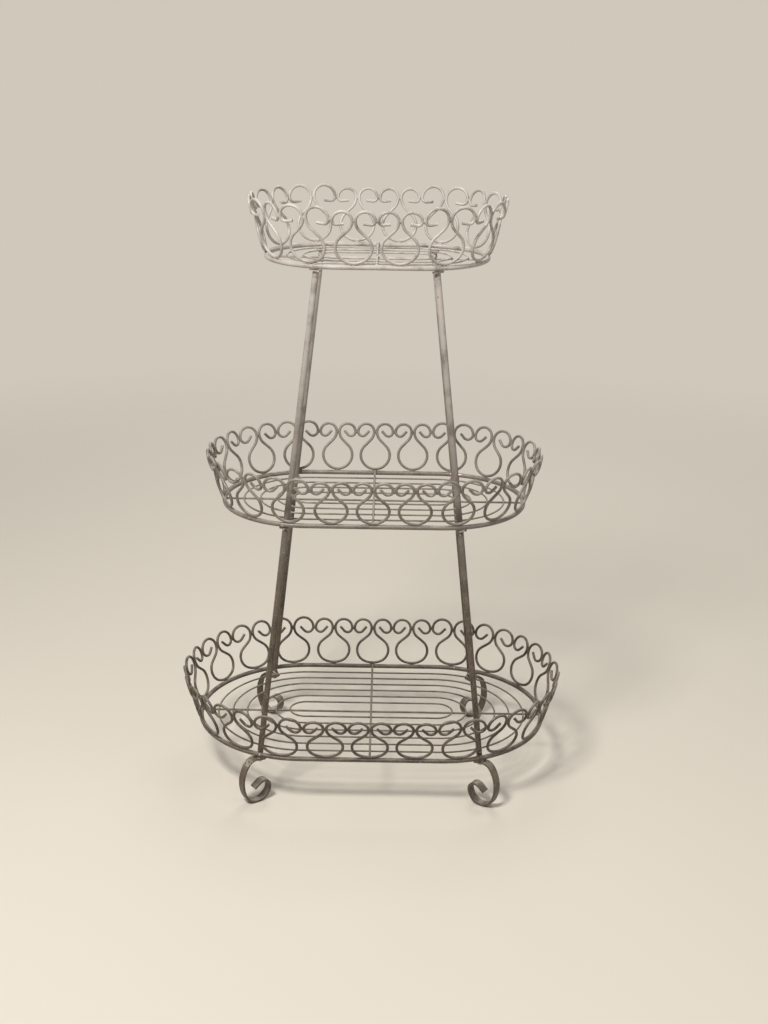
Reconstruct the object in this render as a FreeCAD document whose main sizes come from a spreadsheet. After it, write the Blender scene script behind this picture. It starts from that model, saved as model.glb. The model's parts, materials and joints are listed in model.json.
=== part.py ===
"""Three-tier oval wrought-wire plant stand, in millimetres.

Three oval baskets of falling size stand one above the other on four splayed tube legs.
Each basket is a ring of round rod.  Its floor is nested wire loops held by two rails, and
its wall is a row of omega-shaped wire scrolls that leans outwards.  Small lugs inside the
rings carry the legs, and flat-bar scroll feet are bolted under the lowest lugs.

+Z is up, the long side of the baskets runs along X, the front looks towards -Y, and the
origin is on the floor under the middle of the stand.
"""
import FreeCAD, Part
import math
import os

import Sketcher

Vector = FreeCAD.Vector
Placement = FreeCAD.Placement
Rotation = FreeCAD.Rotation
Constraint = Sketcher.Constraint

X_AXIS = Vector(1, 0, 0)
Y_AXIS = Vector(0, 1, 0)
Z_AXIS = Vector(0, 0, 1)

os.makedirs("parts", exist_ok=True)
doc = FreeCAD.newDocument("plant_stand")


# ---------------------------------------------------------------- driving dimensions
SIZES = {
    # rings, measured along their centrelines
    "ring_rod": 8,
    "bottom_length": 606,
    "bottom_width": 374,
    "bottom_height": 91,
    "middle_length": 508,
    "middle_width": 292,
    "middle_height": 491,
    "top_length": 358,
    "top_width": 230,
    "top_height": 905,
    # floors: wires, and the step from the ring to the outermost loop
    "floor_wire": 3,
    "rail_wire": 3.6,
    "inner_loop_width": 58,
    "bottom_loops": 6,
    "bottom_first_gap": 31,
    "middle_loops": 4,
    "middle_first_gap": 33,
    "top_loops": 3,
    "top_first_gap": 33,
    # scroll walls: how many scrolls go round, how many of them are front, and how far the
    # first is from the middle of the front, as a share of their spacing; the belly is the
    # level, up the lean, where a loop is widest, and the neck is the level where the two
    # strands of a scroll meet
    "scroll_wire": 4.8,
    "wall_lean": 20,
    "belly_roundness": 0.94,
    "strand_straight": 15,
    "strand_belly_share": 0.52,
    "bottom_scrolls": 22,
    "bottom_front_scrolls": 7,
    "bottom_first_scroll": 0,
    "bottom_loop_width": 59.4,
    "bottom_belly": 24,
    "bottom_neck": 66,
    "bottom_spiral_ratio": 0.55,
    "bottom_spiral_turn": 138,
    "bottom_tail": 10.5,
    "middle_scrolls": 20,
    "middle_front_scrolls": 7,
    "middle_first_scroll": 0,
    "middle_loop_width": 52,
    "middle_belly": 25,
    "middle_neck": 67,
    "middle_spiral_ratio": 0.55,
    "middle_spiral_turn": 138,
    "middle_tail": 9,
    "top_scrolls": 14,
    "top_front_scrolls": 4,
    "top_first_scroll": 0.5,
    "top_loop_width": 56.6,
    "top_belly": 26,
    "top_neck": 73,
    "top_spiral_ratio": 0.42,
    "top_spiral_turn": 97,
    "top_tail": 11,
    # the room that a weld fills between two rods
    "weld_gap": 0.3,
    # legs
    "leg_tube": 10,
    "leg_wall": 1,
    "leg_gap": 0.25,
    "bottom_leg_spread": 186,
    "middle_leg_spread": 142,
    "top_leg_spread": 94.4,
    # lugs and fasteners
    "lug_thickness": 3,
    "lug_width": 16,
    "bolt_hole": 5.5,
    "thread": 5,
    "thread_clearance": 0.1,
    "thread_engaged": 12,
    "bolt_head": 8,
    "bolt_head_height": 3.5,
    "insert_length": 15,
    "insert_clearance": 0.1,
    # feet, bent from flat bar
    "foot_bar_width": 15,
    "foot_bar_thickness": 4,
    "foot_bar_edge": 0.8,
    "foot_pad_inner": 8,
    "foot_pad_outer": 7.5,
    "foot_shoulder_radius": 18,
    "foot_shin_start": 55,
    "foot_shin_end": 115,
    "foot_heel_radius": 24,
    "foot_curl_radius": 11.5,
    "foot_curl_turn": 128,
    "foot_tail": 14,
}

sheet = doc.addObject("Spreadsheet::Sheet", "sizes")
for row, (name, value) in enumerate(SIZES.items(), start=1):
    sheet.set(f"A{row}", name)
    sheet.set(f"B{row}", str(value))
    sheet.setAlias(f"B{row}", name)
doc.recompute()

TIERS = ("bottom", "middle", "top")
SIDES = {"left": -1, "right": 1}
ENDS = {"front": -1, "back": 1}


def size(name):
    """A driving dimension, read from the sheet."""
    return float(sheet.get(name))


# ---------------------------------------------------------------- where the legs run
# The lugs are welded under the rings and reach inwards, so that the leg tubes run just
# inside the rings.  Round an end of a ring a lug points to the centre of that end, and
# along a straight side it points straight in.
legs = doc.addObject("App::VarSet", "legs")


def derive(name, expression):
    """A size of the legs that follows from the sheet."""
    legs.addProperty("App::PropertyFloat", name)
    legs.setExpression(name, expression)


derive("inset", "(sizes.ring_rod + sizes.leg_tube) / 2 + sizes.leg_gap")
for tier in TIERS:
    derive(f"{tier}_past_straight",
           f"max(0; sizes.{tier}_leg_spread - (sizes.{tier}_length - sizes.{tier}_width) / 2)")
    derive(f"{tier}_y",
           f"sqrt(pow(sizes.{tier}_width / 2 - inset; 2)"
           f" - pow({tier}_past_straight; 2))")
for part, low, high in (("lower", "bottom", "middle"), ("upper", "middle", "top")):
    rise = f"(sizes.{high}_height - sizes.{low}_height)"
    derive(f"{part}_span",
           f"sqrt(pow(sizes.{low}_leg_spread - sizes.{high}_leg_spread; 2)"
           f" + pow({low}_y - {high}_y; 2) + pow({rise}; 2))")
    derive(f"{part}_lean", f"acos({rise} / {part}_span) / 1 deg")
# A lug lies square to its leg, so its far corners rise towards the ring.
derive("lug_rise", "tan(max(lower_lean; upper_lean))"
       " * sqrt(pow(inset; 2) + pow(sizes.lug_width / 2; 2))")
derive("lug_drop", "(sizes.ring_rod + sizes.lug_thickness) / 2 + sizes.weld_gap + lug_rise")
doc.recompute()


def lug_centre(tier, side, end):
    """The point where a leg's axis goes through its lug under one ring."""
    return Vector(side * size(f"{tier}_leg_spread"),
                  end * getattr(legs, f"{tier}_y"),
                  size(f"{tier}_height") - legs.lug_drop)


def lug_outward(tier, side, end):
    """The level direction from a lug's hole to the nearest point of its ring."""
    outward = Vector(side * getattr(legs, f"{tier}_past_straight"),
                     end * getattr(legs, f"{tier}_y"), 0)
    return outward.normalize()


def tube_direction(part, side, end):
    """The upward direction of a lower or upper leg tube."""
    low, high = ("bottom", "middle") if part == "lower" else ("middle", "top")
    return (lug_centre(high, side, end) - lug_centre(low, side, end)).normalize()


def lug_normal(tier, side, end):
    """A lug lies square to its tube, and the middle one halfway between its two tubes."""
    lower = tube_direction("lower", side, end)
    upper = tube_direction("upper", side, end)
    if tier == "bottom":
        return lower
    if tier == "top":
        return upper
    return (lower + upper).normalize()


# The tubes below and above a middle lug bend a little there.  Each stays clear of the lug
# by as much as its rim turns.
legs.addProperty("App::PropertyFloat", "half_bend")
legs.half_bend = math.degrees(
    tube_direction("lower", 1, 1).getAngle(tube_direction("upper", 1, 1))) / 2
derive("bend_room", "tan(half_bend) * sizes.leg_tube / 2")
# The feet are bolted flat under the bottom lugs, square to the lower tubes.
derive("pad_offset", "(sizes.lug_thickness + sizes.foot_bar_thickness) / 2 * sin(lower_lean)")
derive("pad_height", "sizes.bottom_height - lug_drop"
       " - (sizes.lug_thickness + sizes.foot_bar_thickness) / 2 * cos(lower_lean)")
doc.recompute()


def facing(z_direction, x_hint):
    """The rotation that turns Z to z_direction and X as near as it can to x_hint."""
    return Rotation(x_hint, Vector(), z_direction, "ZXY")


# ---------------------------------------------------------------- sketch helpers
def origin_plane(body, role):
    return next(plane for plane in body.Origin.OriginFeatures if plane.Role == role)


def add_sketch(body, name, role):
    sketch = body.newObject("Sketcher::SketchObject", name)
    sketch.AttachmentSupport = [(origin_plane(body, role), "")]
    sketch.MapMode = "FlatFace"
    return sketch


def bind(sketch, kind, places, name, expression):
    """Add a constraint that has its value from the sheet, from the start."""
    value = float(sheet.evalExpression(expression))
    if kind == "Angle":
        value = math.radians(value)
    index = sketch.addConstraint(Constraint(kind, *places, value))
    sketch.renameConstraint(index, name)
    sketch.setExpression(f"Constraints.{name}", expression)


def oval_path(body, name, length, width):
    """A stadium outline: two straights joined by half circles.  Both sizes are expressions."""
    reach = float(sheet.evalExpression(f"({length} - ({width})) / 2"))
    radius = float(sheet.evalExpression(f"({width}) / 2"))
    quarter = math.pi / 2
    path = add_sketch(body, name, "XY_Plane")
    right_end = Part.Circle(Vector(reach, 0, 0), Z_AXIS, radius)
    left_end = Part.Circle(Vector(-reach, 0, 0), Z_AXIS, radius)
    path.addGeometry([
        Part.LineSegment(Vector(-reach, -radius, 0), Vector(reach, -radius, 0)),
        Part.ArcOfCircle(right_end, -quarter, quarter),
        Part.LineSegment(Vector(reach, radius, 0), Vector(-reach, radius, 0)),
        Part.ArcOfCircle(left_end, quarter, 3 * quarter),
    ], False)
    for edge in range(4):
        path.addConstraint(Constraint("Tangent", edge, 2, (edge + 1) % 4, 1))
    path.addConstraint(Constraint("Horizontal", 0))
    path.addConstraint(Constraint("Equal", 1, 3))
    path.addConstraint(Constraint("Symmetric", 1, 3, 3, 3, -1, 1))
    bind(path, "Radius", (1,), "end_radius", f"({width}) / 2")
    bind(path, "DistanceX", (3, 3, 1, 3), "straight", f"{length} - ({width})")
    return path


def oval_rod(name, tier, length, width, rod):
    """A closed oval of round rod, lying level at its tier's height."""
    body = doc.addObject("PartDesign::Body", name)
    path = oval_path(body, f"{name}_path", length, width)
    radius = float(sheet.evalExpression(f"({width}) / 2"))
    section = add_sketch(body, f"{name}_section", "YZ_Plane")
    section.addGeometry(Part.Circle(Vector(-radius, 0, 0), Z_AXIS, 1), False)
    section.addConstraint(Constraint("PointOnObject", 0, 3, -1))
    bind(section, "Radius", (0,), "rod_radius", f"{rod} / 2")
    bind(section, "DistanceX", (0, 3, -1, 1), "side", f"({width}) / 2")
    pipe = body.newObject("PartDesign::AdditivePipe", f"{name}_pipe")
    pipe.Profile = (section, [""])
    pipe.Spine = (path, [])
    body.setExpression("Placement.Base.z", f"sizes.{tier}_height")
    return body


# ---------------------------------------------------------------- baskets
def make_ring(tier):
    return oval_rod(f"{tier}_ring", tier, f"sizes.{tier}_length", f"sizes.{tier}_width",
                    "sizes.ring_rod")


def make_floor_loops(tier):
    """Nested wire loops, evenly stepped from the first gap to the innermost loop."""
    step = (f"(sizes.{tier}_width / 2 - sizes.{tier}_first_gap - sizes.inner_loop_width / 2)"
            f" / (sizes.{tier}_loops - 1)")
    loops = []
    for number in range(int(size(f"{tier}_loops"))):
        inset = f"2 * (sizes.{tier}_first_gap + {number} * {step})"
        loops.append(oval_rod(f"{tier}_floor_loop_{number + 1}", tier,
                              f"sizes.{tier}_length - {inset}",
                              f"sizes.{tier}_width - {inset}",
                              "sizes.floor_wire"))
    return loops


def make_rail(name, tier, span, turn, axis, level_sign):
    """A straight rail from ring to ring, above or below the loops that it holds."""
    rail = doc.addObject("Part::Cylinder", name)
    rail.setExpression("Radius", "sizes.rail_wire / 2")
    rail.setExpression("Height", f"{span} - sizes.ring_rod - 2 * sizes.weld_gap")
    rail.Placement = Placement(Vector(), turn)
    rail.setExpression(f"Placement.Base.{axis}", "-Height / 2")
    rail.setExpression("Placement.Base.z",
                       f"sizes.{tier}_height {level_sign} ((sizes.floor_wire"
                       f" + sizes.rail_wire) / 2 + sizes.weld_gap)")
    return rail


def make_rails(tier):
    """The long rail carries the loops, and the cross rail holds them down."""
    long_rail = make_rail(f"{tier}_long_rail", tier, f"sizes.{tier}_length",
                          Rotation(Y_AXIS, 90), "x", "-")
    cross_rail = make_rail(f"{tier}_cross_rail", tier, f"sizes.{tier}_width",
                           Rotation(X_AXIS, -90), "y", "+")
    return [long_rail, cross_rail]


# ---------------------------------------------------------------- scroll walls
def oval_station(tier, distance):
    """The point on a ring and its outward direction, a distance round from the front.

    The distance runs anticlockwise, and the second half of the ring is the first half
    turned round."""
    radius = size(f"{tier}_width") / 2
    reach = size(f"{tier}_length") / 2 - radius
    half_round = math.pi * radius
    half_way = 2 * reach + half_round
    along = distance % half_way
    turned = -1 if distance % (2 * half_way) >= half_way else 1
    angle = min(max(along - reach, 0), half_round) / radius
    centre_x = min(along, reach) - max(along - reach - half_round, 0)
    outward = Vector(math.sin(angle), -math.cos(angle), 0) * turned
    return Vector(centre_x * turned, 0, 0) + outward * radius, outward


def quarter_oval(across, up):
    """Two arcs, each as a radius and a turn, that lead from level to upright.

    The bend is tighter at the end of the longer reach."""
    short, long = sorted((across, up))
    tight = short * size("belly_roundness")
    turn = 2 * math.degrees(math.atan2(short - tight, long - tight))
    wide = tight + (long - tight) / math.sin(math.radians(turn))
    arcs = [(wide, turn), (tight, 90 - turn)]
    # a true quarter circle needs only its wide arc
    arcs = [(radius, angle) for radius, angle in arcs if angle > 0.001]
    return arcs if across > up else arcs[::-1]


def strand(across, up):
    """The run from the belly in to the neck, upright at both ends, with a straight between.

    It comes back as the sum of the two bends' radii, and how far each of them turns."""
    straight = size("strand_straight")
    bends = (across ** 2 + up ** 2 - straight ** 2) / (2 * across)
    slope = math.atan2(up, bends - across) + math.atan2(bends, straight) - math.pi / 2
    return bends, math.degrees(slope)


def scroll_outline(tier, half_width):
    """The centreline of half a scroll in its own plane, as the points of each run.

    The wire starts on the ring, swells to the belly, runs in to the neck, goes out over the
    curl into the spiral, and ends in a straight tail.  A positive radius turns left, and a
    run with no radius is straight, with its length instead of its turn."""
    touch = (size("scroll_wire") + size("weld_gap")) / 2
    half_loop = size(f"{tier}_loop_width") / 2
    belly = size(f"{tier}_belly")
    bends, slope = strand(half_loop - touch, size(f"{tier}_neck") - belly)
    belly_bend = bends * size("strand_belly_share")
    curl = (half_width - 2 * touch) / 2
    runs = quarter_oval(half_loop, belly) + [
        (belly_bend, slope),
        (0, size("strand_straight")),
        (belly_bend - bends, slope),
        (-curl, 180),
        (-curl * size(f"{tier}_spiral_ratio"), size(f"{tier}_spiral_turn")),
        (0, size(f"{tier}_tail")),
    ]
    point = Vector()
    heading = 0
    outline = []
    for radius, amount in runs:
        if radius:
            middle = bend(point, heading, radius, amount / 2)
            finish = bend(point, heading, radius, amount)
            outline.append((point, middle, finish))
            heading += math.copysign(amount, radius)
        else:
            ahead = Rotation(Z_AXIS, heading).multVec(X_AXIS)
            finish = point + ahead * amount
            outline.append((point, finish))
        point = finish
    return outline


def bend(point, heading, radius, turn):
    """Where an arc gets to after a turn.  A positive radius turns left."""
    sign = math.copysign(1, radius)
    start = math.radians(heading)
    finish = math.radians(heading + sign * turn)
    return point + Vector(math.sin(finish) - math.sin(start),
                          math.cos(start) - math.cos(finish), 0) * radius


def edge_through(points):
    if len(points) == 2:
        return Part.LineSegment(*points).toShape()
    return Part.Arc(*points).toShape()


def make_scroll(tier, half_width):
    """One scroll of round wire, standing in the XY plane with its loop on the origin."""
    half = scroll_outline(tier, half_width)
    mirrored = [tuple(Vector(-point.x, point.y, 0) for point in reversed(run))
                for run in reversed(half)]
    path = Part.Wire([edge_through(run) for run in mirrored + half])
    start, after = mirrored[0][0], mirrored[0][-1]
    circle = Part.makeCircle(size("scroll_wire") / 2, start, after - start)
    return path.makePipe(Part.Face(Part.Wire(circle)))


def neck_point(tier, distance):
    """The point above a ring, up the lean of the wall, at the level of the necks."""
    lean = math.radians(size("wall_lean"))
    slant = scroll_foot() + size(f"{tier}_neck")
    point, outward = oval_station(tier, distance)
    return point + (outward * math.sin(lean) + Z_AXIS * math.cos(lean)) * slant


def scroll_foot():
    """From the middle of the ring's rod to the middle of the wire that stands on it."""
    return (size("ring_rod") + size("scroll_wire")) / 2 + size("weld_gap")


def make_scroll_wall(tier):
    """All the scrolls of a basket, evenly spaced round the ring and leaning outwards.

    At the level of the necks each scroll takes the room halfway to its neighbours, so the
    curls meet all the way round, and they are larger round the ends."""
    count = int(size(f"{tier}_scrolls"))
    width = size(f"{tier}_width")
    spacing = (2 * (size(f"{tier}_length") - width) + math.pi * width) / count
    scrolls = []
    for number in range(count):
        distance = spacing * (number + size(f"{tier}_first_scroll"))
        before = neck_point(tier, distance - spacing / 2)
        after = neck_point(tier, distance + spacing / 2)
        middle = (before + after) / 2
        along = (after - before).normalize()
        point = oval_station(tier, distance)[0]
        point += along * along.dot(middle - point)
        up = (middle - point).normalize()
        scroll = make_scroll(tier, (after - before).Length / 2)
        scroll.Placement = Placement(point + up * scroll_foot(),
                                     facing(along.cross(up), along))
        scrolls.append(scroll)
    return scrolls


def make_scroll_nodes(tier):
    """The wall as four rows of scrolls: front, right end, back and left end."""
    scrolls = make_scroll_wall(tier)
    half = len(scrolls) // 2
    front = int(size(f"{tier}_front_scrolls"))
    first = math.ceil(front / 2 - size(f"{tier}_first_scroll"))
    in_order = scrolls[first - front:] + scrolls[:first - front]
    rows = {
        "front": in_order[:front],
        "right": in_order[front:half],
        "back": in_order[half:half + front],
        "left": in_order[half + front:],
    }
    nodes = []
    for place, row in rows.items():
        node = doc.addObject("Part::Feature", f"{tier}_{place}_scrolls")
        node.Shape = Part.makeCompound(row)
        node.Placement = Placement(Z_AXIS * size(f"{tier}_height"), Rotation())
        nodes.append(node)
    return nodes


# ---------------------------------------------------------------- legs
def corner_names():
    """The four corners: name, side and end."""
    return [(f"{end_name}_{side_name}", side, end)
            for end_name, end in ENDS.items() for side_name, side in SIDES.items()]


def group(name, pieces):
    """Several equal pieces as one node of separate solids."""
    node = doc.addObject("Part::Compound", name)
    node.Links = pieces
    return node


def make_lug(tier, corner, side, end):
    """A flat tab from under the middle of the ring to the bolt hole, rounded about it."""
    body = doc.addObject("PartDesign::Body", f"{tier}_{corner}_lug")
    sketch = add_sketch(body, f"{body.Name}_outline", "XY_Plane")
    reach, half = legs.inset, size("lug_width") / 2
    quarter = math.pi / 2
    sketch.addGeometry([
        Part.LineSegment(Vector(0, -half, 0), Vector(reach, -half, 0)),
        Part.LineSegment(Vector(reach, -half, 0), Vector(reach, half, 0)),
        Part.LineSegment(Vector(reach, half, 0), Vector(0, half, 0)),
        Part.ArcOfCircle(Part.Circle(Vector(), Z_AXIS, half), quarter, 3 * quarter),
        Part.Circle(Vector(), Z_AXIS, size("bolt_hole") / 2),
    ], False)
    for corner_line in (0, 1):
        sketch.addConstraint(Constraint("Coincident", corner_line, 2, corner_line + 1, 1))
    sketch.addConstraint(Constraint("Tangent", 2, 2, 3, 1))
    sketch.addConstraint(Constraint("Tangent", 3, 2, 0, 1))
    sketch.addConstraint(Constraint("Horizontal", 0))
    sketch.addConstraint(Constraint("Vertical", 1))
    sketch.addConstraint(Constraint("Coincident", 3, 3, -1, 1))
    sketch.addConstraint(Constraint("Coincident", 4, 3, -1, 1))
    bind(sketch, "Radius", (3,), "half_width", "sizes.lug_width / 2")
    bind(sketch, "Radius", (4,), "hole", "sizes.bolt_hole / 2")
    bind(sketch, "DistanceX", (-1, 1, 1, 1), "reach", "legs.inset")
    pad = body.newObject("PartDesign::Pad", f"{body.Name}_pad")
    pad.Profile = sketch
    pad.SideType = "Symmetric"
    pad.setExpression("Length", "sizes.lug_thickness")
    body.Placement = Placement(lug_centre(tier, side, end),
                               facing(lug_normal(tier, side, end),
                                      lug_outward(tier, side, end)))
    return body


def make_leg_tube(part, corner, side, end):
    """A round tube that stands between two lugs."""
    body = doc.addObject("PartDesign::Body", f"{part}_{corner}_leg")
    sketch = add_sketch(body, f"{body.Name}_section", "XY_Plane")
    for number, (name, expression) in enumerate({
            "outside": "sizes.leg_tube / 2",
            "inside": "sizes.leg_tube / 2 - sizes.leg_wall"}.items()):
        radius = float(sheet.evalExpression(expression))
        sketch.addGeometry(Part.Circle(Vector(), Z_AXIS, radius), False)
        sketch.addConstraint(Constraint("Coincident", number, 3, -1, 1))
        bind(sketch, "Radius", (number,), name, expression)
    pad = body.newObject("PartDesign::Pad", f"{body.Name}_pad")
    pad.Profile = sketch
    pad.setExpression("Length", f"legs.{part}_span - sizes.lug_thickness - legs.bend_room")
    direction = tube_direction(part, side, end)
    body.Placement = Placement(tube_start(part, side, end), facing(direction, X_AXIS))
    return body


def tube_start(part, side, end):
    """The lower end of a tube, on top of its lug."""
    tier = "bottom" if part == "lower" else "middle"
    rise = size("lug_thickness") / 2 + (legs.bend_room if part == "upper" else 0)
    return lug_centre(tier, side, end) + tube_direction(part, side, end) * rise


def make_insert(name, part, side, end, at_top):
    """A threaded plug in one end of a tube.

    At the middle ring its bore has room for the bend between the two tubes."""
    outside = doc.addObject("Part::Cylinder", f"{name}_outside")
    outside.setExpression("Radius",
                          "sizes.leg_tube / 2 - sizes.leg_wall - sizes.insert_clearance")
    outside.setExpression("Height", "sizes.insert_length")
    bore = doc.addObject("Part::Cylinder", f"{name}_bore")
    at_middle = at_top == (part == "lower")
    bend = " + sizes.thread_engaged * tan(legs.half_bend)" if at_middle else ""
    bore.setExpression("Radius", f"sizes.thread / 2 + sizes.thread_clearance{bend}")
    bore.setExpression("Height", "sizes.insert_length")
    insert = doc.addObject("Part::Cut", name)
    insert.Base = outside
    insert.Tool = bore
    direction = tube_direction(part, side, end)
    along = 0
    if at_top:
        span = getattr(legs, f"{part}_span")
        along = span - size("lug_thickness") - legs.bend_room - size("insert_length")
    insert.Placement = Placement(tube_start(part, side, end) + direction * along,
                                 facing(direction, X_AXIS))
    return insert


def make_inserts(part):
    inserts = [make_insert(f"{part}_{corner}_insert_{place}", part, side, end, at_top)
               for corner, side, end in corner_names()
               for place, at_top in (("low", False), ("high", True))]
    return group(f"{part}_leg_inserts", inserts)


def make_shank(name, below, above):
    """A threaded shank along the leg, from one level to another past the lug's middle."""
    shank = doc.addObject("Part::Cylinder", name)
    shank.setExpression("Radius", "sizes.thread / 2")
    shank.setExpression("Height", f"{below} + {above}")
    shank.setExpression("Placement.Base.z", f"-({below})")
    return shank


def make_bolt(name, head_level, below, above):
    """A hexagon-headed bolt: the head starts at head_level, and the shank spans the lug."""
    head = doc.addObject("Part::Prism", f"{name}_head")
    head.Polygon = 6
    head.setExpression("Circumradius", "sizes.bolt_head / 2 / cos(30)")
    head.setExpression("Height", "sizes.bolt_head_height")
    head.setExpression("Placement.Base.z", head_level)
    bolt = doc.addObject("Part::Fuse", name)
    bolt.Base = head
    bolt.Tool = make_shank(f"{name}_shank", below, above)
    return bolt


HALF_LUG = "sizes.lug_thickness / 2"
ENGAGED = f"{HALF_LUG} + sizes.thread_engaged"
UNDER_PAD = f"{HALF_LUG} + sizes.foot_bar_thickness"


def make_fasteners(node_name, tier, make_one):
    """One fastener at each lug of a ring, lying along the lug's hole."""
    fasteners = []
    for corner, side, end in corner_names():
        fastener = make_one(f"{tier}_{corner}_fastener")
        normal = lug_normal(tier, side, end)
        fastener.Placement = Placement(lug_centre(tier, side, end), facing(normal, X_AXIS))
        fasteners.append(fastener)
    return group(node_name, fasteners)


def make_foot_bolt(name):
    return make_bolt(name, f"-({UNDER_PAD}) - sizes.bolt_head_height", UNDER_PAD, ENGAGED)


def make_top_bolt(name):
    return make_bolt(name, HALF_LUG, ENGAGED, HALF_LUG)


def make_stud(name):
    """A threaded stud without a head, which joins the two tubes at a middle lug."""
    return group(name, [make_shank(f"{name}_shank", ENGAGED, ENGAGED)])


# ---------------------------------------------------------------- feet
def foot_angles():
    """Turn of each bend of a foot, in degrees: shoulder, shin, heel and curl."""
    return [
        "legs.lower_lean + sizes.foot_shin_start",
        "sizes.foot_shin_end - sizes.foot_shin_start",
        "270 - sizes.foot_shin_end",
        "sizes.foot_curl_turn",
    ]


def shin_radius():
    """The long bend that brings the heel down to the floor."""
    start = math.radians(size("foot_shin_start"))
    finish = math.radians(size("foot_shin_end"))
    lean = math.radians(legs.lower_lean)
    pad = size("foot_pad_outer") * math.sin(lean)
    drop = legs.pad_height + pad - size("foot_bar_thickness") / 2
    drop -= size("foot_shoulder_radius") * (math.cos(lean) - math.cos(start))
    drop -= size("foot_heel_radius") * (1 + math.cos(finish))
    return drop / (math.cos(start) - math.cos(finish))


def foot_path(body):
    """The centreline of the bent bar: a flat pad, four bends all turning one way, a tail."""
    path = add_sketch(body, f"{body.Name}_path", "XZ_Plane")
    heading = legs.lower_lean
    slope = Vector(math.cos(math.radians(heading)), math.sin(math.radians(heading)), 0)
    pad = Vector(legs.pad_offset, legs.pad_height, 0)
    point = pad + slope * size("foot_pad_outer")
    path.addGeometry(Part.LineSegment(pad - slope * size("foot_pad_inner"), point), False)
    radii = [size("foot_shoulder_radius"), shin_radius(), size("foot_heel_radius"),
             size("foot_curl_radius")]
    for number, (radius, angle) in enumerate(zip(radii, foot_angles()), start=1):
        turn = float(sheet.evalExpression(angle))
        start = math.radians(heading)
        centre = point + Vector(math.sin(start), -math.cos(start), 0) * radius
        arc = Part.ArcOfCircle(Part.Circle(centre, Z_AXIS, radius),
                               math.radians(heading - turn + 90),
                               math.radians(heading + 90))
        path.addGeometry(arc, False)
        path.addConstraint(Constraint("Tangent", number - 1, 2 if number == 1 else 1,
                                      number, 2))
        bind(path, "Angle", (number,), f"turn_{number}", angle)
        point = bend(point, heading, -radius, turn)
        heading -= turn
    ahead = Rotation(Z_AXIS, heading).multVec(X_AXIS)
    path.addGeometry(Part.LineSegment(point, point + ahead * size("foot_tail")), False)
    path.addConstraint(Constraint("Tangent", 4, 1, 5, 1))
    bind(path, "Distance", (5,), "tail_length", "sizes.foot_tail")
    bind(path, "DistanceX", (-1, 1, 0, 1), "pad_start",
         "legs.pad_offset - sizes.foot_pad_inner * cos(legs.lower_lean)")
    bind(path, "DistanceY", (-1, 1, 0, 1), "pad_level",
         "legs.pad_height - sizes.foot_pad_inner * sin(legs.lower_lean)")
    bind(path, "Distance", (0,), "pad_length", "sizes.foot_pad_inner + sizes.foot_pad_outer")
    bind(path, "Angle", (0,), "pad_slope", "legs.lower_lean")
    for arc, name in ((1, "shoulder"), (3, "heel"), (4, "curl")):
        bind(path, "Radius", (arc,), name, f"sizes.foot_{name}_radius")
    bind(path, "DistanceY", (-1, 1, 3, 3), "heel_height",
         "sizes.foot_heel_radius + sizes.foot_bar_thickness / 2")
    return path


def foot_section(body):
    """The flat bar's section, standing square to the start of the pad."""
    section = add_sketch(body, f"{body.Name}_section", "YZ_Plane")
    lean = math.radians(legs.lower_lean)
    inner = size("foot_pad_inner")
    start = Vector(0, legs.pad_height - inner * math.sin(lean),
                   legs.pad_offset - inner * math.cos(lean))
    section.AttachmentOffset = Placement(start, Rotation(X_AXIS, -legs.lower_lean))
    edge = size("foot_bar_edge")
    across = size("foot_bar_width") / 2
    up = size("foot_bar_thickness") / 2
    # four sides, each followed by the arc that eases its far corner
    for number, (x, y) in enumerate(((1, -1), (1, 1), (-1, 1), (-1, -1))):
        centre = Vector(x * (across - edge), y * (up - edge), 0)
        angle = math.pi / 2 * (number - 1)
        far = centre + Vector(math.cos(angle), math.sin(angle), 0) * edge
        near = Vector(-far.x, far.y, 0) if number % 2 == 0 else Vector(far.x, -far.y, 0)
        section.addGeometry(Part.LineSegment(near, far), False)
        corner = Part.Circle(centre, Z_AXIS, edge)
        section.addGeometry(Part.ArcOfCircle(corner, angle, angle + math.pi / 2), False)
    for number in range(8):
        section.addConstraint(Constraint("Tangent", number, 2, (number + 1) % 8, 1))
    for side, direction in ((0, "Horizontal"), (2, "Vertical"), (4, "Horizontal"), (6, "Vertical")):
        section.addConstraint(Constraint(direction, side))
    for corner in (3, 5, 7):
        section.addConstraint(Constraint("Equal", 1, corner))
    bind(section, "Radius", (1,), "bar_edge", "sizes.foot_bar_edge")
    bind(section, "DistanceX", (6, 1, 2, 1), "bar_width", "sizes.foot_bar_width")
    bind(section, "DistanceY", (0, 1, 4, 1), "bar_thickness", "sizes.foot_bar_thickness")
    section.addConstraint(Constraint("Symmetric", 1, 3, 5, 3, -1, 1))
    return section


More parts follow.
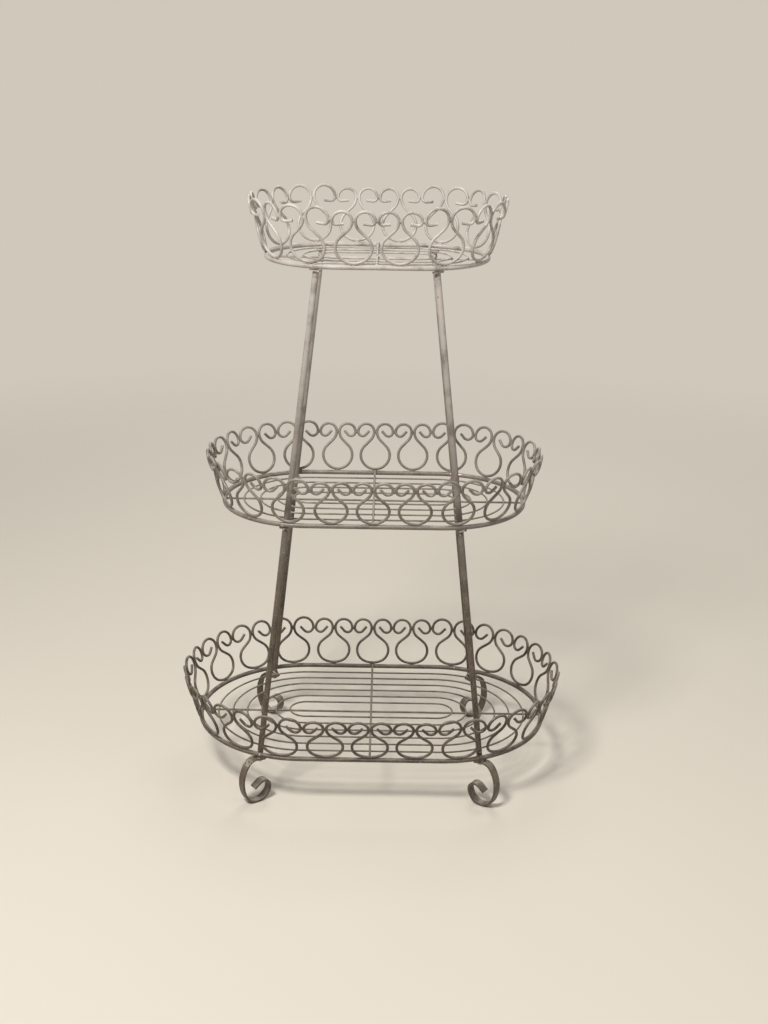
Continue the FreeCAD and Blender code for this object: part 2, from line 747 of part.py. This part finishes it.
def make_foot(corner, side, end):
    """A scroll foot of bent flat bar, in the upright plane that its leg leans in."""
    body = doc.addObject("PartDesign::Body", f"{corner}_foot")
    pipe_spine = foot_path(body)
    pipe = body.newObject("PartDesign::AdditivePipe", f"{corner}_foot_bar")
    pipe.Profile = (foot_section(body), [""])
    pipe.Spine = (pipe_spine, [])
    doc.recompute()
    hole = add_sketch(body, f"{corner}_foot_hole", "XY_Plane")
    hole.AttachmentOffset = Placement(Vector(legs.pad_offset, 0, legs.pad_height),
                                      Rotation(Y_AXIS, -legs.lower_lean))
    hole.addGeometry(Part.Circle(Vector(), Z_AXIS, 1), False)
    hole.addConstraint(Constraint("Coincident", 0, 3, -1, 1))
    bind(hole, "Radius", (0,), "hole_radius", "sizes.bolt_hole / 2")
    pocket = body.newObject("PartDesign::Pocket", f"{corner}_foot_pocket")
    pocket.Profile = hole
    pocket.SideType = "Symmetric"
    pocket.setExpression("Length", "2 * sizes.foot_bar_thickness")
    splay = tube_direction("lower", side, end)
    place = lug_centre("bottom", side, end)
    place.z = 0
    outward = Vector(-splay.x, -splay.y, 0)
    body.Placement = Placement(place, facing(Z_AXIS, outward))
    return body


# ---------------------------------------------------------------- the stand
def make_stand():
    nodes = []
    for tier in TIERS:
        nodes.append(make_ring(tier))
        nodes += make_floor_loops(tier)
        nodes += make_rails(tier)
        nodes += make_scroll_nodes(tier)
        lugs = [make_lug(tier, *corner) for corner in corner_names()]
        nodes.append(group(f"{tier}_lugs", lugs))
    for part in ("lower", "upper"):
        nodes += [make_leg_tube(part, *corner) for corner in corner_names()]
        nodes.append(make_inserts(part))
    nodes.append(make_fasteners("foot_bolts", "bottom", make_foot_bolt))
    nodes.append(make_fasteners("leg_studs", "middle", make_stud))
    nodes.append(make_fasteners("top_bolts", "top", make_top_bolt))
    nodes += [make_foot(*corner) for corner in corner_names()]
    return nodes


def check(nodes):
    """Every object of the document is up to date, and every node is a sound solid."""
    failed = [item.Label for item in doc.Objects
              if "Invalid" in item.State or "Error" in item.State]
    failed += [node.Label for node in nodes
               if node.Shape.isNull() or not node.Shape.isValid() or not node.Shape.Solids]
    if failed:
        raise RuntimeError("these objects failed: " + ", ".join(failed))


stand = make_stand()
doc.recompute()
check(stand)
for node in stand:
    node.Shape.exportStep(f"parts/{node.Label}.step")
box = Part.makeCompound([node.Shape for node in stand]).optimalBoundingBox(False)
print(f"{len(stand)} nodes, {sum(len(node.Shape.Solids) for node in stand)} solids")
print(f"{box.XLength:.1f} x {box.YLength:.1f} x {box.ZLength:.1f} mm, lowest {box.ZMin:.3f}")
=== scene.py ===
# %% [markdown]
# A three-tier oval plant stand in painted wrought wire.
# The metal frame comes from the CAD model: rings, nested floor loops, scroll walls, tube legs
# and scroll feet, each at its real size.  These could be swept again here along curves, but
# the CAD wires already have the true arcs, so they stay.  Blender adds what a welder and a
# painter add: the beads that join the wires, the satin bronze-brown paint, its wear and dust.

# %% load the frame
import bmesh
import bpy
import json
import math
from mathutils import Matrix, Vector, noise


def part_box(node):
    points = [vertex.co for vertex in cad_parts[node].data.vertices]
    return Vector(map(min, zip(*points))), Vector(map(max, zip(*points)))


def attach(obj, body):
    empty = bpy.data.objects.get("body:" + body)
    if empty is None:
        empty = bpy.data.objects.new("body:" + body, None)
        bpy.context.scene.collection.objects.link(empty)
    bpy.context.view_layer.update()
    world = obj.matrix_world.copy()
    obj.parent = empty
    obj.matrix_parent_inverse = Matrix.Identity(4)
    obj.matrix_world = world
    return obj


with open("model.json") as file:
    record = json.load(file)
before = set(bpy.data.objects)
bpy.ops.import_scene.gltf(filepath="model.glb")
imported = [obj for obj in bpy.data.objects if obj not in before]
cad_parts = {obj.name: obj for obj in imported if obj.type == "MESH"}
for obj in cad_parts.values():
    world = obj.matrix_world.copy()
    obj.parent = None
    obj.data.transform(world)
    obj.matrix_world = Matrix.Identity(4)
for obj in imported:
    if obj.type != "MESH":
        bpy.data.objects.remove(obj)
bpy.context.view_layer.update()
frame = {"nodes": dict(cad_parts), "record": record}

MM = 0.001
TIERS = ("bottom", "middle", "top")


# %% [markdown]
# Colours are written as the hex values that a paint card would give.  A shader works in
# linear light, so one function turns each hex value to linear.  Nodes could be dragged and
# wired by hand in the editor.  Here one small function adds a node with its settings and its
# links, so that each finish can be read from top to bottom like a recipe.

# %% colour and node helpers
def linear(hex_colour):
    """A hex colour in linear light, with full alpha."""
    channels = [int(hex_colour[place:place + 2], 16) / 255 for place in (1, 3, 5)]
    return tuple(value / 12.92 if value <= 0.04045 else ((value + 0.055) / 1.055) ** 2.4
                 for value in channels) + (1.0,)


def add(tree, kind, inputs=None, **settings):
    """A new node.  An input is a value, a hex colour, an output or a node (its first output)."""
    node = tree.nodes.new(kind)
    for name, value in settings.items():
        setattr(node, name, value)
    for socket, value in (inputs or {}).items():
        if isinstance(value, bpy.types.Node):
            value = value.outputs[0]
        if isinstance(value, bpy.types.NodeSocket):
            tree.links.new(value, node.inputs[socket])
        else:
            node.inputs[socket].default_value = (
                linear(value) if isinstance(value, str) else value)
    return node


def new_material(name):
    material = bpy.data.materials.new(name)
    material.use_nodes = True
    material.node_tree.nodes.clear()
    return material, material.node_tree


print("half grey #808080 is", round(linear("#808080")[0], 3), "in linear light")


# %% [markdown]
# Every finish here is a pile of thin layers, each showing only in places.  The places could
# be painted on a picture, but then every wire would have to be unwrapped for it.  Noise read
# from Object coordinates needs no unwrapping and keeps its real size on every wire.  So one
# function makes soft patches of a size in millimetres, and one lays a colour over what is
# below it.

# %% patches and layers
MIX_BELOW, MIX_ABOVE, MIX_RESULT = 6, 7, 2    # the Mix node's sockets for colours


def patches(tree, place, size_mm, low, high, detail=3.0, roughness=0.5):
    """Soft patches about size_mm across: 0 where the noise is below low, 1 above high."""
    cloud = add(tree, "ShaderNodeTexNoise", {
        "Vector": place, "Scale": 1 / (size_mm * MM), "Detail": detail, "Roughness": roughness})
    return add(tree, "ShaderNodeMapRange", {"Value": cloud, "From Min": low, "From Max": high},
               interpolation_type="SMOOTHSTEP")


def lay_over(tree, below, above, *where):
    """One colour over another, as strongly as all the parts of where multiplied together."""
    amount = where[0]
    for part in where[1:]:
        amount = add(tree, "ShaderNodeMath", {0: amount, 1: part}, operation="MULTIPLY")
    mixed = add(tree, "ShaderNodeMix", {"Factor": amount, MIX_BELOW: below, MIX_ABOVE: above},
                data_type="RGBA")
    return mixed.outputs[MIX_RESULT]


print("patches 10 mm across need a noise scale of", round(1 / (10 * MM)))


# %% [markdown]
# The paint is a satin enamel in dark bronze brown, sprayed thinly over steel wire.  Sprayed
# enamel pools and thins, so its colour drifts over a few centimetres, and its skin has a fine
# orange peel.  Towards the top the colour is painted lighter, to a chalky grey-beige: painted
# light, as if lit from above, while the low wires keep the dark paint.  Dust lies on what faces
# up, and small chips show bare steel with a ring of rust.  The colours come first, then the
# size of each pattern.

# %% colours and patterns of the paint
PAINT_DARK = "#2b2218"
PAINT_BROWN = "#514434"
# Painted light: the chalky grey-beige that the top is painted towards, as if lit from above.
PAINTED_LIGHT_TOP = "#b9b1a7"
PAINT_DUSTY = "#b3a899"
CHIP_STEEL = "#c9c4bd"
RUST = "#6b4532"

# Widths in millimetres.
POOLS = 38
# Patches that break up the painted light towards the top.
PAINTED_LIGHT_PATCHES = 30
DUST_PATCHES = 14
SHEEN_PATCHES = 9
CHIP_SPREAD = 5.5      # the noise; only its peaks become chips, a millimetre or two wide
SPECKS = 2.2           # coarser than real specks, which wouldn't show
ORANGE_PEEL = 0.9

# The painted light towards the top starts at the first height and is full at the second, in
# metres.
PAINTED_LIGHT_FROM = 0.25
PAINTED_LIGHT_TO = 1.0

# Dust shows between these upward parts of the surface's normal.  Where the wear noise passes
# the first levels there is rust, and past the second ones bare steel.
DUST_LEVELS = 0.05, 0.95
RUST_LEVELS = 0.66, 0.72
BARE_LEVELS = 0.72, 0.75

# The largest share of painted light that the top gets.
PAINTED_LIGHT_MOST = 0.9
SPECKLED_MOST = 0.35
ENAMEL_IOR = 1.5
ENAMEL_ROUGHNESS = 0.3, 0.52
PEEL_DEPTH = 0.15 * MM
PEEL_STRENGTH = 0.25
print("paint from", PAINT_DARK, "low down to", PAINTED_LIGHT_TOP, "at the top")


# %% [markdown]
# Paint chips most where a bolt has been tightened and where something has knocked it.  Those
# spots could be masked by hand.  A distance to each of a few points does the same, and follows
# the bolts when the frame changes, because their places are read from the CAD nodes.

# %% where the paint is worn
BOLT_HEAD = 8 * MM
STUD = 5 * MM
BOLT_WEAR = {"reach": 22 * MM, "amount": 0.2}
KNOCK_WEAR = {"reach": 15 * MM, "amount": 0.3}


def more_wear(tree, wear, place, spots, reach, amount):
    """More wear near each spot: amount up to a fifth of reach, nothing from reach on."""
    for spot in spots:
        away = add(tree, "ShaderNodeVectorMath", {0: place, 1: spot}, operation="DISTANCE")
        near = add(tree, "ShaderNodeMapRange", {
            "Value": away.outputs["Value"], "From Min": reach / 5, "From Max": reach,
            "To Min": amount, "To Max": 0.0})
        wear = add(tree, "ShaderNodeMath", {0: wear, 1: near}, operation="ADD")
    return wear


def joint_at(node, width):
    """The middle of the one of four bolts or studs that has positive x and y."""
    low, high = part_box(node)
    return Vector((high.x - width / 2, high.y - width / 2, (low.z + high.z) / 2))


JOINTS = (joint_at("foot_bolts", BOLT_HEAD), joint_at("leg_studs", STUD),
          joint_at("top_bolts", BOLT_HEAD))
FOOT_KNOCKS = (Vector((-0.2060, -0.1770, 0.0790)),)    # the front left foot, under its bolt
print("bolted joints:", [tuple(round(v / MM) for v in joint) for joint in JOINTS])


# %% [markdown]
# The enamel itself is a dielectric with a satin roughness that wanders a little, so a wire
# shows a soft bright line along it, never a sharp one.  A clear coat over a base could give
# gloss too, but sprayed satin enamel has no clear layer, so one Principled shader is enough.
# Only the bare chips are metal, so Metallic takes the same mask as their colour.

# %% bronze enamel
def paint_material(name, dust, chips, joints=(), knocks=()):
    """Satin bronze-brown enamel.  dust and chips are how much of each shows, from 0 to 1.

    joints are places where a bolt has cracked the paint.  The stand is the same on both
    sides and at both ends, so one point with positive x and y stands for all four legs.
    knocks are single places where the paint has been knocked off down to the steel.
    """
    material, tree = new_material(name)
    place = add(tree, "ShaderNodeTexCoord").outputs["Object"]
    height = add(tree, "ShaderNodeSeparateXYZ", {"Vector": place}).outputs["Z"]
    normal = add(tree, "ShaderNodeNewGeometry").outputs["Normal"]
    upward = add(tree, "ShaderNodeSeparateXYZ", {"Vector": normal}).outputs["Z"]

    colour = lay_over(tree, PAINT_DARK, PAINT_BROWN,
                      patches(tree, place, POOLS, low=0.32, high=0.66))
    # Painted light: towards the top the colour is lifted to a pale grey-beige in patches, as if
    # lit from above.
    high_up = add(tree, "ShaderNodeMapRange", {
        "Value": height, "From Min": PAINTED_LIGHT_FROM, "From Max": PAINTED_LIGHT_TO},
        interpolation_type="SMOOTHSTEP")
    colour = lay_over(tree, colour, PAINTED_LIGHT_TOP, high_up,
                      patches(tree, place, PAINTED_LIGHT_PATCHES, low=0.1, high=0.6), PAINTED_LIGHT_MOST)
    specks = patches(tree, place, SPECKS, low=0.45, high=0.75, detail=4.0, roughness=0.65)
    colour = lay_over(tree, colour, PAINT_DUSTY, specks, SPECKLED_MOST)

    faces_up = add(tree, "ShaderNodeMapRange", {
        "Value": upward, "From Min": DUST_LEVELS[0], "From Max": DUST_LEVELS[1]},
        interpolation_type="SMOOTHSTEP")
    settled = patches(tree, place, DUST_PATCHES, low=0.25, high=0.65, detail=4.0, roughness=0.6)
    colour = lay_over(tree, colour, PAINT_DUSTY, faces_up, settled, dust)

    wear = add(tree, "ShaderNodeTexNoise", {
        "Vector": place, "Scale": 1 / (CHIP_SPREAD * MM), "Detail": 3.0, "Roughness": 0.55})
    one_quarter = add(tree, "ShaderNodeVectorMath", {0: place}, operation="ABSOLUTE")
    wear = more_wear(tree, wear, one_quarter.outputs["Vector"], joints, **BOLT_WEAR)
    wear = more_wear(tree, wear, place, knocks, **KNOCK_WEAR)
    rusty = add(tree, "ShaderNodeMapRange", {
        "Value": wear, "From Min": RUST_LEVELS[0], "From Max": RUST_LEVELS[1]},
        interpolation_type="SMOOTHSTEP")
    bare = add(tree, "ShaderNodeMapRange", {
        "Value": wear, "From Min": BARE_LEVELS[0], "From Max": BARE_LEVELS[1]},
        interpolation_type="SMOOTHSTEP")
    bare = add(tree, "ShaderNodeMath", {0: bare, 1: chips}, operation="MULTIPLY")
    colour = lay_over(tree, colour, RUST, rusty, chips)
    colour = lay_over(tree, colour, CHIP_STEEL, bare)

    peel = add(tree, "ShaderNodeTexNoise", {
        "Vector": place, "Scale": 1 / (ORANGE_PEEL * MM), "Detail": 2.0, "Roughness": 0.5})
    bump = add(tree, "ShaderNodeBump", {
        "Height": peel, "Strength": PEEL_STRENGTH, "Distance": PEEL_DEPTH})
    sheen = add(tree, "ShaderNodeTexNoise", {
        "Vector": place, "Scale": 1 / (SHEEN_PATCHES * MM), "Detail": 3.0, "Roughness": 0.5})
    rough = add(tree, "ShaderNodeMapRange", {
        "Value": sheen, "To Min": ENAMEL_ROUGHNESS[0], "To Max": ENAMEL_ROUGHNESS[1]})
    shader = add(tree, "ShaderNodeBsdfPrincipled", {
        "Base Color": colour, "Metallic": bare, "Roughness": rough, "IOR": ENAMEL_IOR,
        "Normal": bump})
    add(tree, "ShaderNodeOutputMaterial", {"Surface": shader})
    return material


frame_paint = paint_material("satin_bronze_enamel_on_rod", dust=0.35, chips=0.8,
                             joints=JOINTS, knocks=FOOT_KNOCKS)
wire_paint = paint_material("satin_bronze_enamel_on_wire", dust=0.3, chips=0.5)
weld_paint = paint_material("satin_bronze_enamel_on_weld", dust=0.3, chips=1.0)
print("paints:", frame_paint.name, wire_paint.name, weld_paint.name)


# %% [markdown]
# Bolts, studs and inserts are zinc-plated steel that has gone dull.  Zinc keeps a metal's
# shine, but white bloom roughens it in patches a few millimetres wide.  Colour and roughness
# could each have a pattern of their own, but bloom is what changes both on the real thing, so
# one mask drives both.

# %% zinc-plated steel
BLOOM_PATCHES = 3.5
ZINC_ROUGHNESS = 0.3, 0.6


def zinc_material(name, bright, bloom):
    material, tree = new_material(name)
    place = add(tree, "ShaderNodeTexCoord").outputs["Object"]
    bloomed = patches(tree, place, BLOOM_PATCHES, low=0.4, high=0.65, detail=4.0, roughness=0.6)
    rough = add(tree, "ShaderNodeMapRange", {
        "Value": bloomed, "To Min": ZINC_ROUGHNESS[0], "To Max": ZINC_ROUGHNESS[1]})
    shader = add(tree, "ShaderNodeBsdfPrincipled", {
        "Base Color": lay_over(tree, bright, bloom, bloomed), "Metallic": 1.0,
        "Roughness": rough})
    add(tree, "ShaderNodeOutputMaterial", {"Surface": shader})
    return material


bolt_steel = zinc_material("dull_zinc_on_bolts", "#cfcac2", "#96918a")
insert_steel = zinc_material("dull_zinc_on_inserts", "#a5a29c", "#7d7a75")
print("zinc:", bolt_steel.name, insert_steel.name)


# %% [markdown]
# The record says which finish each CAD node has.  They could be put on one node at a time,
# but a node that is added to the frame later would then stay bare, so one loop reads the
# record.

# %% finishes on the CAD nodes
SLOT_MATERIALS = {
    "frame_paint": frame_paint,
    "wire_paint": wire_paint,
    "bolt_steel": bolt_steel,
    "insert_steel": insert_steel,
}
for entry in frame["record"]["subparts"]:
    mesh = frame["nodes"][entry["node"]].data
    mesh.materials.clear()
    mesh.materials.append(SLOT_MATERIALS[entry["material_slot"]])


# %% [markdown]
# Every joint of wire on wire is a small weld: where a scroll stands on its ring, where its
# two strands meet at the neck, where neighbouring curls meet, and where loops cross rails.
# The welds could be placed by eye, one at a time.  But the shape of each basket says where
# they are: its ring is an oval of two straights and two half circles, and its wall leans
# outwards from it.  So the ring's box, the number of scrolls and a few sizes of a scroll are
# enough, and the welds follow the frame when it changes.

# %% where the scrolls stand
WALL_LEAN = math.radians(20)
SCROLL_WIRE = 4.8 * MM
WELD_GAP = 0.3 * MM
SCROLLS = {"bottom": 22, "middle": 20, "top": 14}
FIRST_SCROLL = {"bottom": 0, "middle": 0, "top": 0.5}    # in spacings from the front
NECK_LEVEL = {"bottom": 66 * MM, "middle": 67 * MM, "top": 73 * MM}


class Ring:
    """The centreline of one basket's ring, measured from its node."""

    def __init__(self, tier):
        low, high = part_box(f"{tier}_ring")
        self.rod = high.z - low.z
        self.level = (high.z + low.z) / 2
        self.radius = (high.y - low.y - self.rod) / 2
        self.reach = (high.x - low.x - self.rod) / 2 - self.radius
        self.round = 4 * self.reach + 2 * math.pi * self.radius

    def station(self, distance):
        """The point a distance round from the front, and the level way out from there."""
        half_round = math.pi * self.radius
        along = distance % (self.round / 2)
        side = -1 if distance % self.round >= self.round / 2 else 1
        angle = min(max(along - self.reach, 0), half_round) / self.radius
        centre = min(along, self.reach) - max(along - self.reach - half_round, 0)
        outward = Vector((math.sin(angle), -math.cos(angle), 0)) * side
        return Vector((centre * side, 0, self.level)) + outward * self.radius, outward


RINGS = {tier: Ring(tier) for tier in TIERS}
for tier, ring in RINGS.items():
    print(f"{tier} ring: {ring.round / MM:.0f} mm round, rod {ring.rod / MM:.1f} mm")


# %% the stand of each scroll
def scroll_stands(tier):
    """Each scroll's foot on the ring, its way up the lean, its way along and its half width."""
    ring = RINGS[tier]
    spacing = ring.round / SCROLLS[tier]
    foot = (ring.rod + SCROLL_WIRE) / 2 + WELD_GAP

    def neck(distance):
        point, outward = ring.station(distance)
        lean = outward * math.sin(WALL_LEAN) + Vector((0, 0, math.cos(WALL_LEAN)))
        return point + lean * (foot + NECK_LEVEL[tier])

    stands = []
    for number in range(SCROLLS[tier]):
        distance = spacing * (number + FIRST_SCROLL[tier])
        before, after = neck(distance - spacing / 2), neck(distance + spacing / 2)
        along = (after - before).normalized()
        point = ring.station(distance)[0]
        point += along * along.dot((before + after) / 2 - point)
        up = ((before + after) / 2 - point).normalized()
        stands.append((point, up, along, (after - before).length / 2))
    return stands


print("scrolls:", {tier: len(scroll_stands(tier)) for tier in TIERS})


# %% [markdown]
# A weld bead is a drop of steel that froze before it could level.  It could be sculpted, but
# there are hundreds.  So each one starts as a small sphere of 48 faces, is stretched along
# the joint, and has its points pushed about a little by noise, so that no two are alike.

# %% weld beads
NOISE_SEED = 1    # without one, every run would push the points another way
BEAD_LUMPS = 2.5 * MM
BEAD_ROUGHNESS = 0.22    # how far a point is pushed, in parts of the bead's least width

# Length along the joint, width and height.
FOOT_BEAD = (9 * MM, 4.6 * MM, 3 * MM)
NECK_BEAD = (8 * MM, 3 * MM, 4.4 * MM)
CURL_BEAD = (7 * MM, 3 * MM, 4.2 * MM)
CROSSING_BEAD = (4.2 * MM, 3.4 * MM, 2.4 * MM)
RAIL_END_BEAD = (7 * MM, 3.6 * MM, 3.6 * MM)

noise.seed_set(NOISE_SEED)


def add_bead(shape, place, along, up, size):
    """One bead: size is its length along the joint, its width and its height."""
    side = up.cross(along).normalized()
    turned = Matrix((along, side, up)).transposed().to_4x4()
    stretched = Matrix.Diagonal((*size, 1))
    made = bmesh.ops.create_uvsphere(shape, u_segments=8, v_segments=6, radius=0.5,
                                     matrix=Matrix.Translation(place) @ turned @ stretched)
    for vertex in made["verts"]:
        push = noise.noise_vector(vertex.co / BEAD_LUMPS)
        vertex.co += push * min(size) * BEAD_ROUGHNESS


def finish_piece(shape, name):
    """The bmesh becomes a smooth-shaded, painted piece that rides with the stand."""
    bmesh.ops.recalc_face_normals(shape, faces=shape.faces)
    for face in shape.faces:
        face.smooth = True
    mesh = bpy.data.meshes.new(name)
    shape.to_mesh(mesh)
    shape.free()
    mesh.materials.append(weld_paint)
    piece = bpy.data.objects.new(name, mesh)
    bpy.context.scene.collection.objects.link(piece)
    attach(piece, "root")
    print(name, len(mesh.polygons), "faces")


print("the longest bead is", round(max(FOOT_BEAD) / MM), "mm")


# %% wall welds
def make_wall_welds(tier):
    shape = bmesh.new()
    foot = (RINGS[tier].rod + SCROLL_WIRE) / 2 + WELD_GAP
    for point, up, along, half_width in scroll_stands(tier):
        across = up.cross(along)
        neck = point + up * (foot + NECK_LEVEL[tier])
        on_ring = point + up * (RINGS[tier].rod / 2 + WELD_GAP / 2)
        add_bead(shape, on_ring, along, up, FOOT_BEAD)
        add_bead(shape, neck, up, across, NECK_BEAD)
        add_bead(shape, neck + along * half_width, up, across, CURL_BEAD)
    finish_piece(shape, f"{tier}_wall_welds")


for tier in TIERS:
    make_wall_welds(tier)


# %% [markdown]
# The floor loops lie on the long rail and under the cross rail, and each crossing has a dot
# of weld.  The rails end on the ring, with a larger bead on each end.  The crossings could be
# typed in, but the loops are numbered nodes, so their boxes say where they cross.

# %% floor welds
RAIL_END_INSIDE = 0.42    # how far inside the ring's centreline, in rod widths
X_WAY, Y_WAY, Z_WAY = Vector((1, 0, 0)), Vector((0, 1, 0)), Vector((0, 0, 1))


def make_floor_welds(tier):
    shape = bmesh.new()
    ring = RINGS[tier]
    long_low, long_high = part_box(f"{tier}_long_rail")
    cross_low, cross_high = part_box(f"{tier}_cross_rail")
    below = (long_low.z + long_high.z) / 2
    above = (cross_low.z + cross_high.z) / 2
    number = 1
    while f"{tier}_floor_loop_{number}" in frame["nodes"]:
        low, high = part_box(f"{tier}_floor_loop_{number}")
        wire = high.z - low.z
        for end in (-1, 1):
            on_long = Vector((end * (high.x - wire / 2), 0, (below + ring.level) / 2))
            add_bead(shape, on_long, Y_WAY, Z_WAY, CROSSING_BEAD)
            on_cross = Vector((0, end * (high.y - wire / 2), (above + ring.level) / 2))
            add_bead(shape, on_cross, X_WAY, Z_WAY, CROSSING_BEAD)
        number += 1
    inside = ring.rod * RAIL_END_INSIDE
    for end in (-1, 1):
        long_end = Vector((end * (ring.reach + ring.radius - inside), 0, below))
        add_bead(shape, long_end, Y_WAY, Z_WAY, RAIL_END_BEAD)
        cross_end = Vector((0, end * (ring.radius - inside), above))
        add_bead(shape, cross_end, X_WAY, Z_WAY, RAIL_END_BEAD)
    finish_piece(shape, f"{tier}_floor_welds")


for tier in TIERS:
    make_floor_welds(tier)


# %% [markdown]
# The stand is shown on a plain pale floor.  A backdrop sheet would do, but its bend shows as
# a band behind the thin wires.  Here the floor is a wide disc that fades out into the even
# surround, so no edge or horizon shows.

# %% floor
FLOOR_COLOUR = "#d3cabb"
FLOOR_RADIUS = 6
FLOOR_FADES = 1.1, 3.2    # metres from the middle


def make_floor():
    shape = bmesh.new()
    bmesh.ops.create_circle(shape, cap_ends=True, segments=96, radius=FLOOR_RADIUS)
    mesh = bpy.data.meshes.new("floor")
    shape.to_mesh(mesh)
    shape.free()
    floor = bpy.data.objects.new("floor", mesh)
    bpy.context.scene.collection.objects.link(floor)

    material, tree = new_material("pale_floor")
    place = add(tree, "ShaderNodeTexCoord").outputs["Object"]
    away = add(tree, "ShaderNodeVectorMath", {0: place}, operation="LENGTH")
    fade = add(tree, "ShaderNodeMapRange", {
        "Value": away.outputs["Value"], "From Min": FLOOR_FADES[0], "From Max": FLOOR_FADES[1]},
        interpolation_type="SMOOTHSTEP")
    matt = add(tree, "ShaderNodeBsdfPrincipled", {"Base Color": FLOOR_COLOUR, "Roughness": 0.9})
    clear = add(tree, "ShaderNodeBsdfTransparent")
    both = add(tree, "ShaderNodeMixShader", {0: fade, 1: matt, 2: clear})
    add(tree, "ShaderNodeOutputMaterial", {"Surface": both})
    mesh.materials.append(material)
    print("floor", 2 * FLOOR_RADIUS, "m across")


make_floor()


# %% [markdown]
# It is lit like a piece of furniture in a plain studio: a soft light above and to the front,
# a weaker one from the side and one from behind, which draws bright edges on the wires.  The
# surround alone would light it too, but round wires look flat in even light, so it only fills
# in.  What the eye, a reflection or clear glass sees of the surround is its pale colour at
# full strength, and Light Path tells those rays apart.

# %% lights
def soft_light(name, place, target, size, watts):
    data = bpy.data.lights.new(name, "AREA")
    data.shape = "RECTANGLE"
    data.size, data.size_y = size
    data.energy = watts
    light = bpy.data.objects.new(name, data)
    light.location = place
    light.rotation_euler = (Vector(target) - Vector(place)).to_track_quat("-Z", "Y").to_euler()
    bpy.context.scene.collection.objects.link(light)
    print(name, "light", watts, "W")


soft_light("key", place=(-0.8, -1.5, 2.5), target=(0, 0, 0.6), size=(0.6, 0.5), watts=72)
soft_light("fill", place=(2.4, -1.6, 1.7), target=(0, 0, 0.5), size=(1.6, 1.6), watts=16)
soft_light("back", place=(0.3, 2.4, 2.5), target=(0, 0.6, 0.4), size=(1.8, 1.2), watts=34)

# %% surround
SURROUND = "#cfc8bb"
EVEN_LIGHT = "#d8d8d8"
EVEN_STRENGTH = 0.4

world = bpy.data.worlds.new("studio")
bpy.context.scene.world = world
world.use_nodes = True
air = world.node_tree
air.nodes.clear()
ray = add(air, "ShaderNodeLightPath").outputs
mirrored = add(air, "ShaderNodeMath", {
    0: ray["Is Glossy Ray"], 1: ray["Is Transmission Ray"]}, operation="MAXIMUM")
looked_at = add(air, "ShaderNodeMath", {
    0: ray["Is Camera Ray"], 1: mirrored}, operation="MAXIMUM")
lit = add(air, "ShaderNodeBackground", {"Color": EVEN_LIGHT, "Strength": EVEN_STRENGTH})
seen = add(air, "ShaderNodeBackground", {"Color": SURROUND, "Strength": 1.0})
chosen = add(air, "ShaderNodeMixShader", {0: looked_at, 1: lit, 2: seen})
add(air, "ShaderNodeOutputWorld", {"Surface": chosen})
bpy.context.scene.view_settings.view_transform = "Standard"
print("surround", SURROUND, "seen, light at", EVEN_STRENGTH)


# %% [markdown]
# The camera is held at chest height, 1.3 m up, and looks down a little, so that the lowest
# basket is seen from above and the top one almost from the side.  It is a hair off level, as
# a camera held by hand is.  A tracking constraint could aim it, but one move and two turns in
# a single matrix keep it exactly where it was worked out to be.

# %% camera
CAMERA_DISTANCE = 2.430
CAMERA_HEIGHT = 1.301
CAMERA_PITCH = math.radians(18.95)
CAMERA_ROLL = math.radians(0.92)
CAMERA_ASIDE = 0.0174
FOCAL_PIXELS = 1500
FRAME_PIXELS = 1024
SENSOR_HEIGHT = 36.0

camera_data = bpy.data.cameras.new("camera")
camera_data.sensor_fit = "VERTICAL"
camera_data.sensor_height = SENSOR_HEIGHT
camera_data.lens = SENSOR_HEIGHT * FOCAL_PIXELS / FRAME_PIXELS
camera = bpy.data.objects.new("camera", camera_data)
camera.matrix_world = (Matrix.Translation((CAMERA_ASIDE, -CAMERA_DISTANCE, CAMERA_HEIGHT))
                       @ Matrix.Rotation(math.pi / 2 - CAMERA_PITCH, 4, "X")
                       @ Matrix.Rotation(CAMERA_ROLL, 4, "Z"))
bpy.context.scene.collection.objects.link(camera)
bpy.context.scene.camera = camera
print("camera at", tuple(round(value, 3) for value in camera.matrix_world.translation))
